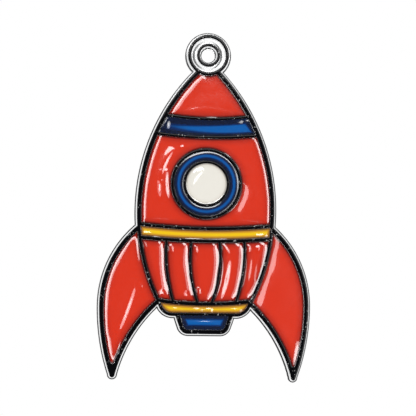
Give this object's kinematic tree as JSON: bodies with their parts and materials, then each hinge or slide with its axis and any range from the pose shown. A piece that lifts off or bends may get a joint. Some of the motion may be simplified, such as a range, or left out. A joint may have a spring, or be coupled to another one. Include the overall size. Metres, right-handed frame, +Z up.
{
  "type": "suncatcher",
  "caption": "Flat rocket-shaped hanging suncatcher: a clear moulded plate with raised black-topped lines and pools of clear coloured paint.",
  "frame": {"origin": "axis of the hanging hole, where the hole meets the flat back face", "axes": "+Z up as the piece hangs, +Y out of the flat back face towards the window, the painted front faces -Y, +X to the viewer's right"},
  "size_m": [0.0622, 0.0027, 0.1016],
  "materials": {
    "clear_plate": "clear moulded polystyrene, polished",
    "black_cap": "glossy black, slightly chipped",
    "red_paint": "glossy transparent dried paint",
    "blue_paint": "glossy transparent dried paint",
    "yellow_paint": "glossy transparent dried paint",
    "white_paint": "glossy opal dried paint"
  },
  "bodies": {
    "root": {"base_plate": "clear_plate", "main_line_cap": "black_cap", "porthole_outer_cap": "black_cap", "porthole_inner_cap": "black_cap", "hanger_ring_cap": "black_cap", "nose_cone_paint": "red_paint", "nose_band_paint": "blue_paint", "body_paint": "red_paint", "porthole_ring_paint": "blue_paint", "porthole_window_paint": "white_paint", "waist_band_paint": "yellow_paint", "skirt_paint_1": "red_paint", "skirt_paint_2": "red_paint", "skirt_paint_3": "red_paint", "skirt_paint_4": "red_paint", "skirt_paint_5": "red_paint", "tail_band_paint": "yellow_paint", "nozzle_paint": "blue_paint", "left_fin_paint": "red_paint", "right_fin_paint": "red_paint"}
  },
  "joints": []
}
